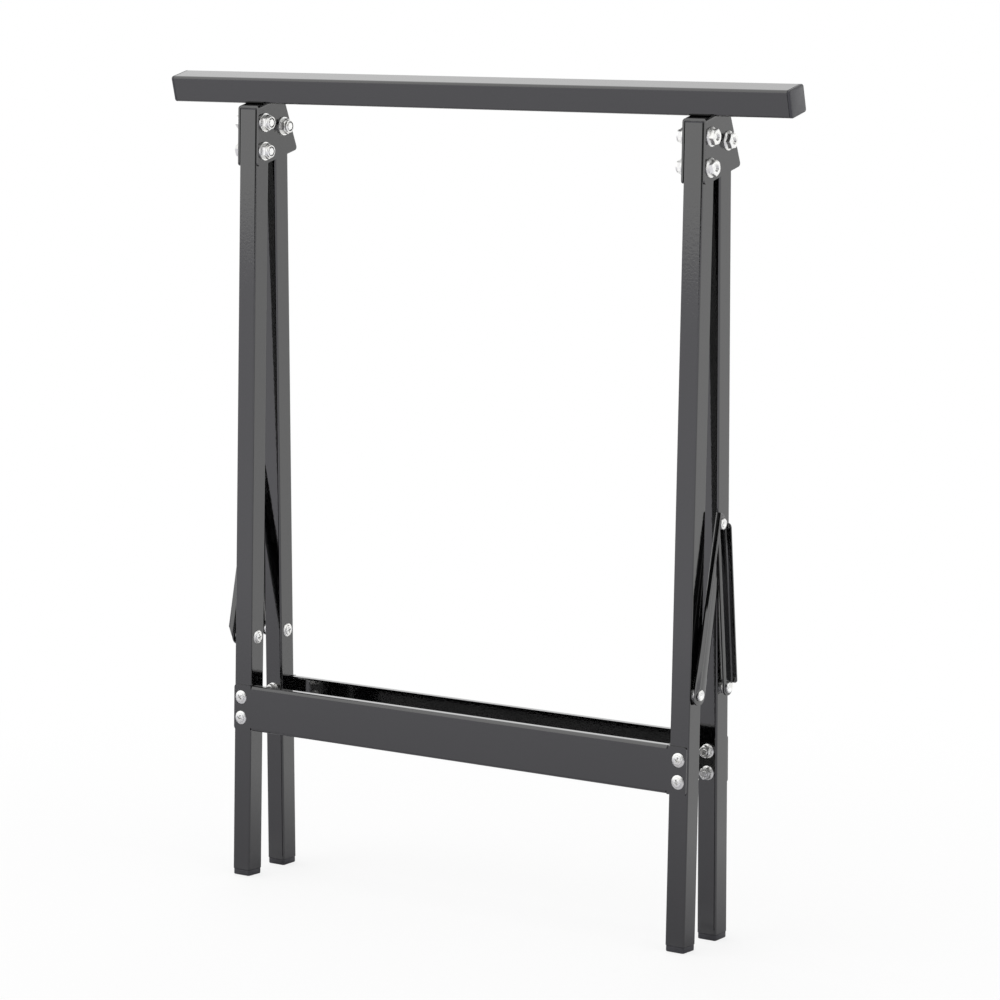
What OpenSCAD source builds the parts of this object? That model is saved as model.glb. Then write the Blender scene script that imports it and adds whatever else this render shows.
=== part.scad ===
// Folding builders trestle: a square tube beam on two pairs of tube legs with folding braces.
// It stands folded. X runs along the beam, Y to the back and Z up, in millimetres.
// The origin is on the floor, under the middle of the part.

/* [Beam] */
// Length of the beam over its end caps
beam_len = 685; // [560:5:900]
// Side of the beam's square tube
beam_side = 25; // [22:0.5:32]
// Wall of the beam's tube
beam_wall = 1.5; // [1:0.1:2.5]
// Outer corner radius of the beam's tube
beam_corner = 2.5; // [1.5:0.1:3.5]
// Thickness of an end cap outside the tube
cap_thick = 3; // [2:0.5:6]
// Angle of the beam's top forward of square to the front legs
beam_rake = 15.5; // [12:0.5:18]

/* [Legs] */
// Side of the legs' square tube
leg_side = 20; // [18:0.5:25]
// Wall of the legs' tube
leg_wall = 1.5; // [1:0.1:2.5]
// Outer corner radius of the legs' tube
leg_corner = 2; // [1:0.1:3]
// Distance between the left and right legs, from axis to axis
leg_pitch = 495; // [400:5:520]
// Length of a front leg from the foot's sole to the top plug
front_leg_len = 740.5; // [650:0.5:850]
// Lean of the front legs to the back when folded, in degrees
front_lean = 1.8; // [1:0.1:4]
// Lean of the rear legs to the front when folded, in degrees
rear_lean = 0.3; // [0.1:0.1:1.5]
// Gap between a front and a rear leg at the pivot
leg_gap = 8.5; // [7:0.5:14]
// Height of a foot's sole below the tube
foot_base = 6; // [4:0.5:12]

/* [Brackets] */
// Thickness of the bracket's sheet
bracket_sheet = 2; // [1.5:0.1:3]
// Inner bend radius of the bracket
bracket_bend = 1; // [0.5:0.1:1.5]
// Depth of the pivot below the top of the front leg
pivot_drop = 16.5; // [10:0.5:20]
// Depth of the upper leg bolt below the top of the front leg
bolt_drop = 13; // [11:0.5:16]
// Distance between the two bolts in a front leg
bolt_gap = 27; // [22:0.5:34]
// Reach of the side plates below the lower leg bolt, square to the beam
bracket_below = 12.3; // [10:0.1:18]
// Reach of the side plates behind the pivot, at the top
bracket_behind_top = 7.5; // [6:0.5:14]
// Reach of the side plates behind the pivot, at the bottom
bracket_behind_low = 15.5; // [13:0.5:24]
// Outer diameter of the pivot bush
bush_d = 12; // [11:0.5:14]

/* [Stretchers] */
// Height of a stretcher
stretcher_h = 44; // [38:0.5:60]
// Thickness of the stretcher's sheet
stretcher_sheet = 1.5; // [1:0.1:2.5]
// Depth of a stretcher over its flanges
stretcher_depth = 8; // [6:0.5:14]
// Height of the stretcher's lower edge above the sole
stretcher_low = 143.5; // [80:0.5:160]
// Distance between the two bolts at each end of a stretcher
stretcher_bolt_gap = 20; // [16:0.5:26]

/* [Braces] */
// Height of the brace pins above the sole
brace_up = 234; // [225:0.5:260]
// Length of a front link from pin to knee
front_link_len = 153.5; // [140:0.5:165]
// Length of a rear link from pin to knee
rear_link_len = 150.5; // [138:0.5:162]
// Width of a front link
front_link_w = 19; // [18:0.1:22]
// Width of a rear link
rear_link_w = 15; // [14:0.1:16]
// Thickness of the links' sheet
link_sheet = 1.5; // [1.2:0.1:2]
// Depth of a front link's flange, over the sheet
front_flange = 6.7; // [5:0.1:9]
// Depth of a rear link's flange, over the sheet
rear_flange = 6.7; // [5:0.1:9]
// Thickness of the spacer behind a front link
front_spacer = 2.2; // [2:0.1:4]

/* [Fasteners] */
// Thread of the bracket bolts
m8_d = 8; // [7:0.5:9]
// Flats of a bracket bolt's head and nut
m8_af = 13; // [12:0.5:15]
// Height of a bracket bolt's head
m8_head_h = 6.2; // [5:0.1:9]
// Height of a bracket nut
m8_nut_h = 8.5; // [7:0.5:10]
// Thread of the stretcher bolts
m6_d = 6; // [5:0.5:7]
// Head of a stretcher bolt across
m6_head_d = 13; // [11:0.5:15]
// Flats of a stretcher nut
m6_nut_af = 10; // [9.5:0.5:12]
// Height of a stretcher nut
m6_nut_h = 6; // [5:0.5:8]
// Shank of the brace pins and rivets
pin_d = 6; // [5:0.5:7]

/* [Hidden] */
$fn = 64;
// Overrun of cuts past a face
overrun = 1;
// Radial clearance of a shank in its hole
hole_clear = 0.05;
// Clearance of a moving face beside its neighbour
run_clear = 0.3;
// Clearance of a leg inside a bracket, on each side
leg_clear = 0.2;
// Clearance of a plug's spigot inside its tube, on each side
plug_clear = 0.1;
// Share of the wall that rounds a tube's inner corner at least
inner_corner_share = 0.25;

// Plugs and feet
plug_thick = 1.2;
plug_spigot = 2.5;
plug_gap = 0.5;
foot_spigot = 15;
cap_spigot = 12;
plug_edge = 0.5;
foot_edge = 1;
foot_inset = 1;
cap_edge = 1.2;

// Bracket
web_gap = 0.3;
beam_set_back = 20;
bracket_inset = 0.5;
bracket_low_round = 3;
bracket_top_round = 1.5;

// Stretchers
stretcher_bend = 1.5;
stretcher_notch = 2;
stretcher_corner = 3;
stretcher_bolt_out = 0.5;
stretcher_inset = 1;

// Links
link_bend = 1.5;
flange_chamfer = 6;
flange_top_chamfer = 2.5;
flange_start = 0.5;
rivet_head_d = 10;
rivet_head_h = 2;
rivet_head_round = 0.9;
knee_back_d = 10;
knee_back_h = 1.2;
pin_head_d = 13;
pin_head_h = 2.6;
pin_head_rim = 0.6;
spacer_d = 13;

// Bolt heads and nuts
m8_flange_d = 17.5;
m8_flange_h = 1.6;
m8_dimple_d = 9;
m8_dimple_h = 0.7;
m8_collar_h = 2;
m6_head_h = 2.6;
m6_head_rim = 0.6;
m6_flange_d = 13;
m6_flange_h = 1.2;
m6_collar_h = 1.4;
bolt_tip = 0.2;
tip_chamfer = 0.6;
collar_share = 0.94;
collar_round = 0.8;
mouth_share = 1.18;
mouth_h = 1;
nut_chamfer_share = 0.06;

black = "#17181a";
plastic = "#101012";
zinc = "#c9cbcf";

// A point turned about the X axis, as [back, up]
function turn(v, a) = [v.x * cos(a) - v.y * sin(a), v.x * sin(a) + v.y * cos(a)];
function unit(v) = v / norm(v);

// Places in the front legs' frame: back from their front face, and up from the sole
leg_axis = leg_side / 2;
upper_bolt = [leg_axis, front_leg_len - bolt_drop];
lower_bolt = upper_bolt - [0, bolt_gap];
pivot_leg = [leg_axis + leg_side + leg_gap, front_leg_len - pivot_drop];
beam_at = [0, front_leg_len] + turn([beam_set_back, web_gap + bracket_sheet], beam_rake);

// Places in the beam's frame: back from its middle, and up from its underside
function in_beam_frame(v) = turn(v - beam_at, -beam_rake);
pivot_beam = in_beam_frame(pivot_leg);
bracket_low = in_beam_frame(lower_bolt).y - bracket_below;
function front_edge(q) =
    (q + web_gap + bracket_sheet) * tan(beam_rake) - beam_set_back + bracket_inset / cos(beam_rake);
bracket_side = [
    [front_edge(bracket_low), bracket_low],
    [pivot_beam.x + bracket_behind_low, bracket_low],
    [pivot_beam.x + bracket_behind_top, 0],
    [front_edge(0), 0]
];
bracket_rounds = [bracket_low_round, bracket_low_round, bracket_top_round, bracket_top_round];
bracket_inner = leg_side + 2 * leg_clear;
bracket_outer = bracket_inner + 2 * bracket_sheet;

// Reach of the part to the back, at the brackets' low rear corners, and to the front, at the feet
low_rear = corner_centre(bracket_side[0], bracket_side[1], bracket_side[2], bracket_low_round);
rear_reach = turn(turn(low_rear, beam_rake) + beam_at, -front_lean).x + bracket_low_round;
front_reach = foot_base * sin(front_lean);

// The front frame stands on the rear edges of its feet, the rear frame on the front edges
foot_in = foot_inset + foot_edge;
front_at = [
    -(rear_reach + front_reach) / 2,
    (leg_side - foot_in) * sin(front_lean) + foot_edge - foot_edge * cos(front_lean)
];
function from_front(v) = turn(v, -front_lean) + front_at;
pivot = from_front(pivot_leg);
rear_pivot_up =
    (pivot.y - foot_edge - (leg_axis - foot_in) * sin(rear_lean)) / cos(rear_lean) + foot_edge;
rear_leg_len = rear_pivot_up + bush_d / 2 + plug_gap + plug_spigot + plug_thick;

// Brace pins and knee, with the knee where the two links meet above the pins
front_pin = from_front([leg_axis, brace_up]);
rear_pin = pivot + turn([0, brace_up - rear_pivot_up], rear_lean);
pin_span = norm(rear_pin - front_pin);
knee_along = (front_link_len ^ 2 - rear_link_len ^ 2 + pin_span ^ 2) / (2 * pin_span);
knee_over = sqrt(front_link_len ^ 2 - knee_along ^ 2);
span_turn = atan2(rear_pin.y - front_pin.y, rear_pin.x - front_pin.x);
knee = front_pin + turn([knee_along, knee_over], span_turn);
function tilt(from, to) = atan2(to.x - from.x, to.y - from.y);

// Layers of a brace, out from the outer side of a leg
front_web = front_spacer + run_clear;
rear_web = front_web + link_sheet + run_clear;
rear_spacer = rear_web - run_clear;
knee_head = rear_web + link_sheet + run_clear;
leg_outer = leg_pitch / 2 + leg_side / 2;

// Point of a corner where a round of radius r starts, towards the point to
function corner_half(a, b, c) = acos(unit(a - b) * unit(c - b)) / 2;
function corner_start(a, b, c, r, to) = b + unit(to - b) * r / tan(corner_half(a, b, c));
function corner_centre(a, b, c, r) =
    b + unit(unit(a - b) + unit(c - b)) * r / sin(corner_half(a, b, c));

// Frames of the parts
module in_front() {
    translate([0, front_at.x, front_at.y]) rotate([-front_lean, 0, 0]) children();
}

module in_beam() {
    in_front() translate([0, beam_at.x, beam_at.y]) rotate([beam_rake, 0, 0]) children();
}

module in_rear() {
    translate([0, pivot.x, pivot.y]) rotate([rear_lean, 0, 0])
        translate([0, 0, -rear_pivot_up]) children();
}

// Outer side of a leg, with X outwards; side is 1 on the right and -1 on the left
module at_side(side) {
    mirror([side < 0 ? 1 : 0, 0, 0]) translate([leg_outer, 0, 0]) children();
}

// A sheet that faces along X, from an outline given as [back, up]
module plate(thick, center = false) {
    rotate([90, 0, 90]) linear_extrude(thick, center = center) children();
}

// Convex outline with a true round at each corner
module rounded(points, radii) {
    n = len(points);
    function before(i) = points[(i + n - 1) % n];
    function after(i) = points[(i + 1) % n];
    polygon([for (i = [0:n - 1]) for (to = [before(i), after(i)])
        corner_start(before(i), points[i], after(i), radii[i], to)]);
    for (i = [0:n - 1])
        translate(corner_centre(before(i), points[i], after(i), radii[i])) circle(radii[i]);
}

module round_square(side, r) {
    square([side, side - 2 * r], center = true);
    square([side - 2 * r, side], center = true);
    for (x = [-1, 1], y = [-1, 1])
        translate([x * (side / 2 - r), y * (side / 2 - r)]) circle(r);
}

// Rectangle from zero with the two corners on the Y axis rounded
module half_round(depth, width, r) {
    translate([r, 0]) square([depth - r, width]);
    translate([0, r]) square([depth, width - 2 * r]);
    for (y = [r, width - r]) translate([r, y]) circle(r);
}

// Section of a bent channel with its web on the Y axis
module channel_section(depth, width, sheet, bend) {
    difference() {
        half_round(depth, width, bend + sheet);
        translate([sheet, sheet]) half_round(depth, width - 2 * sheet, bend);
    }
}

// Section of a bent angle: its web runs along Y, and its flange along X from zero
module angle_section(depth, width, sheet, bend) {
    outer = bend + sheet;
    difference() {
        union() {
            translate([outer, 0]) square([depth - outer, width]);
            translate([0, outer]) square([depth, width - outer]);
            translate([outer, outer]) circle(outer);
        }
        translate([outer, sheet]) square([depth, width]);
        translate([sheet, outer]) square([depth, width]);
        translate([outer, outer]) circle(bend);
    }
}

function inner_corner(corner, wall) = max(corner - wall, wall * inner_corner_share);

module tube(side, wall, corner, length) {
    linear_extrude(length) difference() {
        round_square(side, corner);
        round_square(side - 2 * wall, inner_corner(corner, wall));
    }
}

// Moulded plug with its outer face at zero and its spigot along Z
module plug(side, wall, corner, thick, edge, spigot, inset = 0) {
    inner = side - 2 * wall - 2 * plug_clear;
    outer = side - 2 * inset;
    intersection() {
        linear_extrude(thick) round_square(outer, corner);
        for (a = [0, 90]) rotate([90, 0, a]) linear_extrude(side, center = true)
            rotate(90) translate([0, -outer / 2]) half_round(thick, outer, edge);
    }
    translate([0, 0, thick]) linear_extrude(spigot)
        round_square(inner, inner_corner(corner, wall));
}

// Domed head below zero, with the dome along -Z
module head(d, h, rim) {
    dome = h - rim;
    ball = ((d / 2) ^ 2 + dome ^ 2) / (2 * dome);
    mirror([0, 0, 1]) rotate_extrude() {
        square([d / 2, rim]);
        intersection() {
            translate([0, h - ball]) circle(ball);
            translate([0, rim]) square([d / 2, dome]);
        }
    }
}

// Flange with a hexagon on it, chamfered at the top
module flange_hex(flange_d, flange_h, af, h) {
    chamfer = af * nut_chamfer_share;
    corner = af / 2 / cos(30);
    cylinder(h = flange_h, d = flange_d);
    intersection() {
        cylinder(h = h, r = corner, $fn = 6);
        rotate_extrude() polygon([
            [0, 0], [corner, 0], [corner, h - chamfer], [corner - 2 * chamfer, h], [0, h]
        ]);
    }
}

// Disc from zero along Z, with its far edge rounded
module button(d, h, r) {
    rotate_extrude() {
        square([d / 2 - r, h]);
        square([d / 2, h - r]);
        translate([d / 2 - r, h - r]) circle(r);
    }
}

module shank(d, length) {
    cylinder(h = length - tip_chamfer, d = d);
    translate([0, 0, length - tip_chamfer])
        cylinder(h = tip_chamfer, d1 = d, d2 = d - 2 * tip_chamfer);
}

// Flange bolt with its seat at zero and a dimple in its head
module flange_bolt(grip) {
    mirror([0, 0, 1]) difference() {
        flange_hex(m8_flange_d, m8_flange_h, m8_af, m8_head_h);
        translate([0, 0, m8_head_h - m8_dimple_h])
            cylinder(h = m8_dimple_h + overrun, d = m8_dimple_d);
    }
    shank(m8_d, grip + m8_nut_h + bolt_tip);
}

// Locking nut with its seat at zero: a round collar above the hexagon, with a wider mouth
module flange_nut(thread, flange_d, flange_h, af, h, collar_h) {
    difference() {
        union() {
            flange_hex(flange_d, flange_h, af, h - collar_h);
            button(af * collar_share, h, collar_round);
        }
        translate([0, 0, -overrun]) cylinder(h = h + 2 * overrun, d = thread + 2 * hole_clear);
        translate([0, 0, h - mouth_h]) cylinder(h = mouth_h + overrun, d = thread * mouth_share);
    }
}

module m8_nut() {
    flange_nut(m8_d, m8_flange_d, m8_flange_h, m8_af, m8_nut_h, m8_collar_h);
}

module m6_nut() {
    flange_nut(m6_d, m6_flange_d, m6_flange_h, m6_nut_af, m6_nut_h, m6_collar_h);
}

module drill_x(d, length) {
    rotate([0, 90, 0]) cylinder(h = length + 2 * overrun, d = d + 2 * hole_clear, center = true);
}

module drill_y(d, length) {
    rotate([90, 0, 0]) cylinder(h = length + 2 * overrun, d = d + 2 * hole_clear, center = true);
}

// Heights of the stretcher bolts above the sole
stretcher_mid = stretcher_low + stretcher_h / 2;
stretcher_bolts_up = [stretcher_mid - stretcher_bolt_gap / 2, stretcher_mid + stretcher_bolt_gap / 2];
stretcher_bolt_x = leg_pitch / 2 + stretcher_bolt_out;

// Beam
module beam_tube() {
    color(black) in_beam() translate([cap_thick - beam_len / 2, 0, beam_side / 2])
        rotate([90, 0, 90]) tube(beam_side, beam_wall, beam_corner, beam_len - 2 * cap_thick);
}

module beam_cap(side) {
    color(plastic) in_beam() mirror([side < 0 ? 1 : 0, 0, 0])
        translate([beam_len / 2, 0, beam_side / 2]) rotate([0, -90, 0])
            plug(beam_side, beam_wall, beam_corner, cap_thick, cap_edge, cap_spigot);
}

// Brackets: bent channels with the web under the beam and a plate on each side of the legs
module bracket(side) {
    length = bracket_side[1].x - bracket_side[0].x;
    color(black) in_beam() translate([side * leg_pitch / 2, 0, 0]) difference() {
        intersection() {
            rotate([90, 90, 0]) linear_extrude(2 * length, center = true)
                translate([0, -bracket_outer / 2])
                    channel_section(-bracket_low, bracket_outer, bracket_sheet, bracket_bend);
            plate(bracket_outer, center = true) rounded(bracket_side, bracket_rounds);
        }
        for (at = [upper_bolt, lower_bolt, pivot_leg])
            translate([0, in_beam_frame(at).x, in_beam_frame(at).y]) drill_x(m8_d, bracket_outer);
    }
}

// Legs
module leg_tube(side, length) {
    difference() {
        translate([0, 0, foot_base])
            tube(leg_side, leg_wall, leg_corner, length - foot_base - plug_thick);
        for (up = stretcher_bolts_up)
            translate([side * stretcher_bolt_out, 0, up]) drill_y(m6_d, leg_side);
        translate([0, 0, brace_up]) drill_x(pin_d, leg_side);
    }
}

module front_leg(side) {
    color(black) in_front() translate([side * leg_pitch / 2, leg_axis, 0]) difference() {
        leg_tube(side, front_leg_len);
        for (at = [upper_bolt, lower_bolt]) translate([0, 0, at.y]) drill_x(m8_d, leg_side);
    }
}

module rear_leg(side) {
    color(black) in_rear() translate([side * leg_pitch / 2, 0, 0]) difference() {
        leg_tube(side, rear_leg_len);
        translate([0, 0, rear_pivot_up]) drill_x(bush_d, leg_side);
    }
}

module foot(side) {
    color(plastic) translate([side * leg_pitch / 2, 0, 0])
        plug(leg_side, leg_wall, leg_corner, foot_base, foot_edge, foot_spigot, foot_inset);
}

module top_plugs(length) {
    color(plastic) for (side = [-1, 1]) translate([side * leg_pitch / 2, 0, length])
        mirror([0, 0, 1]) plug(leg_side, leg_wall, leg_corner, plug_thick, plug_edge, plug_spigot);
}

module front_foot(side) {
    in_front() translate([0, leg_axis, 0]) foot(side);
}

module rear_foot(side) {
    in_rear() foot(side);
}

module front_leg_plugs() {
    in_front() translate([0, leg_axis, 0]) top_plugs(front_leg_len);
}

module rear_leg_plugs() {
    in_rear() top_plugs(rear_leg_len);
}

// Bolts of the brackets run along X, with the heads outside and the nuts between the legs
module bracket_places(places) {
    for (side = [-1, 1], at = places)
        in_front() translate([side * leg_pitch / 2, at.x, at.y]) rotate([0, -side * 90, 0]) children();
}

module bracket_bolts(places) {
    color(zinc) bracket_places(places) translate([0, 0, -bracket_outer / 2]) flange_bolt(bracket_outer);
}

module bracket_nuts(places) {
    color(zinc) bracket_places(places) translate([0, 0, bracket_outer / 2]) m8_nut();
}

module leg_bolts() {
    bracket_bolts([upper_bolt, lower_bolt]);
}

module leg_nuts() {
    bracket_nuts([upper_bolt, lower_bolt]);
}

module pivot_bolts() {
    bracket_bolts([pivot_leg]);
}

module pivot_nuts() {
    bracket_nuts([pivot_leg]);
}

module pivot_bushes() {
    color(zinc) bracket_places([pivot_leg]) difference() {
        cylinder(h = bracket_inner, d = bush_d, center = true);
        cylinder(h = bracket_inner + 2 * overrun, d = m8_d + 2 * hole_clear, center = true);
    }
}

// Stretchers: a plate on the legs' outer faces, with flanges turned in between the legs
module stretcher() {
    inside = leg_pitch - leg_side - 2 * stretcher_notch;
    end_x = inside / 2 + stretcher_notch / 2;
    far_x = leg_outer - stretcher_inset;
    bend = stretcher_bend + stretcher_sheet;
    color(black) difference() {
        union() {
            translate([0, -stretcher_sheet, stretcher_low]) plate(inside, center = true)
                channel_section(stretcher_depth, stretcher_h, stretcher_sheet, stretcher_bend);
            rotate([90, 0, 0]) linear_extrude(stretcher_sheet) {
                for (side = [-1, 1]) rounded(
                    [for (p = [[end_x, 0], [far_x, 0], [far_x, stretcher_h], [end_x, stretcher_h]])
                        [side * p.x, p.y + stretcher_low]],
                    [stretcher_notch / 4, stretcher_corner, stretcher_corner, stretcher_notch / 4]);
                translate([-leg_pitch / 2, stretcher_low + bend])
                    square([leg_pitch, stretcher_h - 2 * bend]);
            }
        }
        for (x = [-1, 1], up = stretcher_bolts_up)
            translate([x * stretcher_bolt_x, 0, up]) drill_y(m6_d, 2 * stretcher_sheet);
    }
}

module stretcher_bolts() {
    grip = stretcher_sheet + leg_side;
    color(zinc) for (x = [-1, 1], up = stretcher_bolts_up)
        translate([x * stretcher_bolt_x, -stretcher_sheet, up]) rotate([-90, 0, 0]) {
            head(m6_head_d, m6_head_h, m6_head_rim);
            shank(m6_d, grip + m6_nut_h + bolt_tip);
        }
}

module stretcher_nuts() {
    color(zinc) for (x = [-1, 1], up = stretcher_bolts_up)
        translate([x * stretcher_bolt_x, leg_side, up]) rotate([-90, 0, 0]) m6_nut();
}

// The rear frame has the front one's stretcher, turned to face the back
module on_rear_face() {
    in_rear() translate([0, leg_axis, 0]) mirror([0, 1, 0]) children();
}

module front_stretcher() {
    in_front() stretcher();
}

module front_stretcher_bolts() {
    in_front() stretcher_bolts();
}

module front_stretcher_nuts() {
    in_front() stretcher_nuts();
}

module rear_stretcher() {
    on_rear_face() stretcher();
}

module rear_stretcher_bolts() {
    on_rear_face() stretcher_bolts();
}

module rear_stretcher_nuts() {
    on_rear_face() stretcher_nuts();
}

// Brace pins: a head inside the leg, a shank through it, and a head outside the front link
module brace_pin(length) {
    translate([-leg_side, 0, 0]) rotate([0, 90, 0]) {
        head(pin_head_d, pin_head_h, pin_head_rim);
        cylinder(h = leg_side + length, d = pin_d);
    }
}

module rivet_head(out) {
    translate([out, 0, 0]) rotate([0, 90, 0]) button(rivet_head_d, rivet_head_h, rivet_head_round);
}

module spacer(thick) {
    rotate([0, 90, 0]) difference() {
        cylinder(h = thick, d = spacer_d);
        translate([0, 0, -overrun]) cylinder(h = thick + 2 * overrun, d = pin_d + 2 * hole_clear);
    }
}

module at_pins(place) {
    for (side = [-1, 1]) at_side(side) translate([0, place.x, place.y]) children();
}

module front_brace_pins() {
    out = front_web + link_sheet + run_clear;
    color(zinc) at_pins(front_pin) {
        brace_pin(out);
        rivet_head(out);
    }
}

module front_brace_spacers() {
    color(zinc) at_pins(front_pin) spacer(front_spacer);
}

module rear_brace_pins() {
    color(zinc) at_pins(rear_pin) brace_pin(rear_spacer);
}

module rear_brace_spacers() {
    color(zinc) at_pins(rear_pin) spacer(rear_spacer);
}

// A link stands on its pin with its knee above; its flange is on the Y side given by edge
module link(length, width, flange, edge, flange_top, top_chamfer) {
    low = -width / 2;
    high = length + width / 2;
    difference() {
        intersection() {
            mirror([0, edge > 0 ? 1 : 0, 0]) translate([0, low, low]) linear_extrude(high - low)
                angle_section(flange, width, link_sheet, link_bend);
            plate(flange) {
                translate([low, 0]) square([width, length]);
                circle(d = width);
                translate([0, length]) circle(d = width);
                if (edge < 0) translate([low, length]) square([width / 2, width / 2]);
            }
            rotate([90, 0, 0]) linear_extrude(width, center = true) polygon([
                [0, low], [link_sheet, low], [link_sheet, flange_start],
                [flange, flange_start + flange_chamfer], [flange, flange_top - top_chamfer],
                [link_sheet, flange_top], [link_sheet, high], [0, high]
            ]);
        }
        for (up = [0, length]) translate([0, 0, up]) drill_x(pin_d, 2 * flange);
    }
}

module front_link(side) {
    top = front_link_len + front_link_w / 2;
    color(black) at_side(side) translate([front_web, front_pin.x, front_pin.y])
        rotate([-tilt(front_pin, knee), 0, 0])
            link(front_link_len, front_link_w, front_flange, -1, top, flange_top_chamfer);
}

module rear_link(side) {
    color(black) at_side(side) translate([rear_web, rear_pin.x, rear_pin.y])
        rotate([-tilt(rear_pin, knee), 0, 0])
            link(rear_link_len, rear_link_w, rear_flange, 1, rear_link_len, flange_chamfer);
}

module knee_rivet(side) {
    color(zinc) at_side(side) translate([0, knee.x, knee.y]) {
        translate([front_web - knee_back_h, 0, 0]) rotate([0, 90, 0]) {
            cylinder(h = knee_back_h, d = knee_back_d);
            cylinder(h = knee_back_h + knee_head - front_web, d = pin_d);
        }
        rivet_head(knee_head);
    }
}

// The outer end of the rear pin, riveted to the rear link
module rear_rivet(side) {
    color(zinc) at_side(side) translate([0, rear_pin.x, rear_pin.y]) {
        translate([rear_web, 0, 0]) rotate([0, 90, 0]) cylinder(h = link_sheet, d = pin_d);
        rivet_head(rear_web + link_sheet);
    }
}

beam_tube();
beam_cap(-1);  // beam_cap_left
beam_cap(1);  // beam_cap_right
bracket(-1);  // bracket_left
bracket(1);  // bracket_right
front_leg(-1);  // front_leg_left
front_leg(1);  // front_leg_right
front_leg_plugs();
front_foot(-1);  // front_foot_left
front_foot(1);  // front_foot_right
front_stretcher();
leg_bolts();
leg_nuts();
pivot_bolts();
pivot_nuts();
pivot_bushes();
front_stretcher_bolts();
front_stretcher_nuts();
front_brace_pins();
front_brace_spacers();
rear_leg(-1);  // rear_leg_left
rear_leg(1);  // rear_leg_right
rear_leg_plugs();
rear_foot(-1);  // rear_foot_left
rear_foot(1);  // rear_foot_right
rear_stretcher();
rear_stretcher_bolts();
rear_stretcher_nuts();
rear_brace_pins();
rear_brace_spacers();
front_link(-1);  // front_link_left
front_link(1);  // front_link_right
knee_rivet(-1);  // knee_rivet_left
knee_rivet(1);  // knee_rivet_right
rear_link(-1);  // rear_link_left
rear_link(1);  // rear_link_right
rear_rivet(-1);  // rear_rivet_left
rear_rivet(1);  // rear_rivet_right
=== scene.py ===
import math

import bpy
from mathutils import Matrix, Vector


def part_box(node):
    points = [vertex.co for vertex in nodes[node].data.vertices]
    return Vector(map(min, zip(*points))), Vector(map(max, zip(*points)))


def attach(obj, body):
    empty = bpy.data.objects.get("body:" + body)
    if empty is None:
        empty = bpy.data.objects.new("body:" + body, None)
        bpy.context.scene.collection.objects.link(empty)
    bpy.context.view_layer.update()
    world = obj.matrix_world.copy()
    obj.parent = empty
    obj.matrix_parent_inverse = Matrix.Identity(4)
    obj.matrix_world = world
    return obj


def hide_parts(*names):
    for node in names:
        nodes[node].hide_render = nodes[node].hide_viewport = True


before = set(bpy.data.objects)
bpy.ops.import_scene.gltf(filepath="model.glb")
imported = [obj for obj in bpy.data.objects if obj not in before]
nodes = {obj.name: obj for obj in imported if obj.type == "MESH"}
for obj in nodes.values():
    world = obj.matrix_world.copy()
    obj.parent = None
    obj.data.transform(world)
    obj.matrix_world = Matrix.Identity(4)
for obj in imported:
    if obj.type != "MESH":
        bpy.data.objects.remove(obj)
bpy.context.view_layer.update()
print("frame loaded:", len(nodes), "nodes")

# Frames of the leg pairs and the beam: lean about X in degrees, and the zero point's back and up in metres
frontFrame = {"lean": -1.8, "at": (-0.04093, 0.00057)}
rearFrame = {"lean": 0.3, "at": (0.02407, 0.00004)}
beamFrame = {"lean": 13.7, "at": (0.00121, 0.74767)}
# Legs: how far their axes are from the object's middle, and the side of their square tube
leg = {"x": 0.2475, "side": 0.02}
innerX = leg["x"] - leg["side"] / 2
outerX = leg["x"] + leg["side"] / 2
hands = {"left": -1, "right": 1}
sides = tuple(hands.values())


def placeIn(partFrame, x, back, up):
    lean = Matrix.Rotation(math.radians(partFrame["lean"]), 4, "X")
    zero = Matrix.Translation((0, partFrame["at"][0], partFrame["at"][1]))
    return zero @ lean @ Matrix.Translation((x, back, up))


# Middle of a CAD node, as back and up
def middleOf(node):
    low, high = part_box(node)
    return [(low[i] + high[i]) / 2 for i in (1, 2)]


# Turns that point a piece's Z axis to the back, to the front, and out from or in to the object's middle
toBack = Matrix.Rotation(math.radians(-90), 4, "X")
toFront = Matrix.Rotation(math.radians(90), 4, "X")
toRight = Matrix.Rotation(math.radians(90), 4, "Y")
toLeft = Matrix.Rotation(math.radians(-90), 4, "Y")
outward = {-1: toLeft, 1: toRight}
inward = {-1: toRight, 1: toLeft}


# Materials
def linear(hexColour):
    parts = [int(hexColour[i:i + 2], 16) / 255 for i in (1, 3, 5)]
    return [part / 12.92 if part <= 0.04045 else ((part + 0.055) / 1.055) ** 2.4 for part in parts] + [1.0]


def addNode(tree, kind, settings=None, links=None):
    made = tree.nodes.new(kind)
    for key, value in (settings or {}).items():
        if key in made.inputs:
            made.inputs[key].default_value = value
        else:
            setattr(made, key, value)
    for key, source in (links or {}).items():
        tree.links.new(source, made.inputs[key])
    return made


# Sockets of a Mix node for colours, by number because their names repeat
firstColour, secondColour, mixedColour = 6, 7, 2


def newMaterial(name):
    material = bpy.data.materials.new(name)
    material.use_nodes = True
    material.node_tree.nodes.clear()
    return material, material.node_tree


def closeMaterial(tree, shader):
    addNode(tree, "ShaderNodeOutputMaterial", links={"Surface": shader.outputs[0]})


# Semi-gloss black powder coat: it mirrors the bright room softly, through a fine orange peel
powderCoat = {
    "black": "#030304", "lift": "#060607", "roughLow": 0.05, "roughHigh": 0.1, "ior": 2.01,
    "cloudSize": 0.06, "cloudDetail": 3.0,
    "peelSize": 0.0022, "peelDetail": 1.0, "peelDepth": 0.00003, "peelStrength": 0.7,
}


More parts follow.
